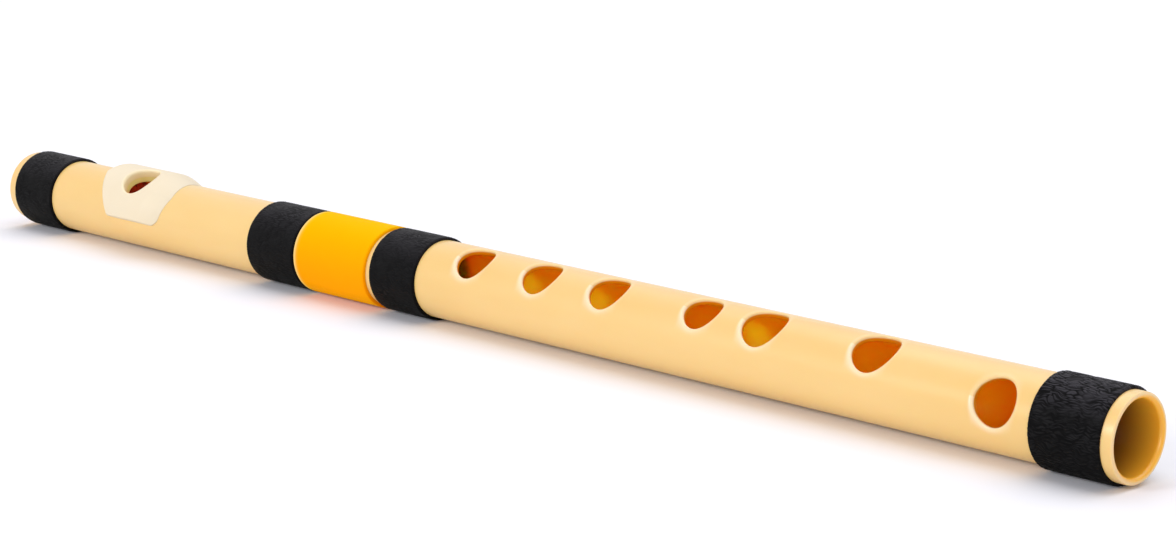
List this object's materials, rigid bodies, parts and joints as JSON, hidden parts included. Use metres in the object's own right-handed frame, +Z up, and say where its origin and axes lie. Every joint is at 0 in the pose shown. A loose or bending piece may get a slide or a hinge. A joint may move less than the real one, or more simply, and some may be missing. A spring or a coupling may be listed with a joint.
{
  "type": "bansuri",
  "caption": "Transverse flute of plain straight tube with a raised lip plate round the blow hole, finger holes in a line, wrapped bands and a sliding stopper in the head.",
  "frame": {"origin": "under the middle of the flute, on the surface it lies on", "axes": "+X along the tube toward the open foot end, +Z up; the blow hole and finger holes are turned from +Z toward -Y, where the viewer is"},
  "size_m": [0.4342, 0.0256, 0.0256],
  "materials": {
    "cream_plastic": "smooth satin cream plastic pipe",
    "ivory_plastic": "smooth satin ivory plastic",
    "black_wrap": "matt grained leatherette tape",
    "orange_wrap": "smooth satin vinyl tape",
    "cork": "dull red-brown cork"
  },
  "bodies": {
    "flute": {"flute_tube": "cream_plastic", "lip_plate": "ivory_plastic", "head_band": "black_wrap", "upper_middle_band": "black_wrap", "orange_band": "orange_wrap", "lower_middle_band": "black_wrap", "foot_band": "black_wrap"},
    "stopper": {"head_stopper": "cork"}
  },
  "joints": [
    {"name": "stopper_slide", "type": "slide", "parent": "flute", "child": "stopper", "axis": [1, 0, 0], "range_m": [-0.008, 0.005]}
  ]
}
